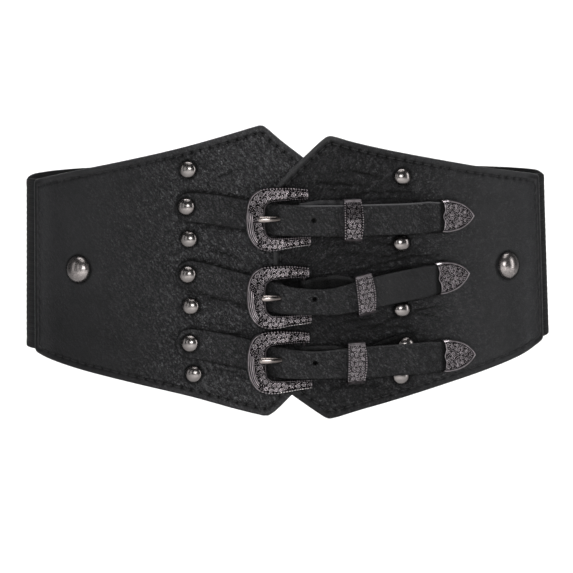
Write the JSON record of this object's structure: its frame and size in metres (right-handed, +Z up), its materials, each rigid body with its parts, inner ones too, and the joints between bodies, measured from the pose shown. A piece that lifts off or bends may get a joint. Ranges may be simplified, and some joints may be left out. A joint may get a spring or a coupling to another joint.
{
  "type": "elastic waist belt",
  "caption": "Wide cinch belt of two overlapping pointed leather-look panels with an elastic back, closed in front by short straps with engraved western buckles, keepers and metal tips.",
  "frame": {"origin": "centre of the waist hollow, half way up the elastic", "axes": "+X along the width of the belt, to the viewer's right in front of it; -Y out of the buckled front; +Z up"},
  "size_m": [0.3173, 0.1644, 0.1733],
  "materials": {
    "panel_leather": "black faux leather, fine pebbled grain, semi-matt",
    "strap_leather": "black faux leather with painted edges",
    "elastic": "black woven elastic webbing, matt",
    "engraved_metal": "gunmetal with engraved scrolls, dark in the hollows",
    "stud_metal": "smooth polished gunmetal",
    "prong_steel": "smooth bright steel"
  },
  "bodies": {
    "root": {"elastic_band": "elastic", "panel_left": "panel_leather", "panel_right": "panel_leather", "billet_top": "strap_leather", "chape_top": "strap_leather", "buckle_frame_top": "engraved_metal", "keeper_top": "engraved_metal", "strap_tip_top": "engraved_metal", "prong_top": "prong_steel", "billet_middle": "strap_leather", "chape_middle": "strap_leather", "buckle_frame_middle": "engraved_metal", "keeper_middle": "engraved_metal", "strap_tip_middle": "engraved_metal", "prong_middle": "prong_steel", "billet_bottom": "strap_leather", "chape_bottom": "strap_leather", "buckle_frame_bottom": "engraved_metal", "keeper_bottom": "engraved_metal", "strap_tip_bottom": "engraved_metal", "prong_bottom": "prong_steel", "side_cap_left": "stud_metal", "stud_left_1": "stud_metal", "stud_left_2": "stud_metal", "stud_left_3": "stud_metal", "stud_left_4": "stud_metal", "stud_left_5": "stud_metal", "stud_left_6": "stud_metal", "stud_left_7": "stud_metal", "side_cap_right": "stud_metal", "stud_right_1": "stud_metal", "stud_right_2": "stud_metal", "stud_right_3": "stud_metal", "stud_right_4": "stud_metal", "stud_right_5": "stud_metal", "stud_right_6": "stud_metal", "stud_right_7": "stud_metal"}
  },
  "joints": []
}
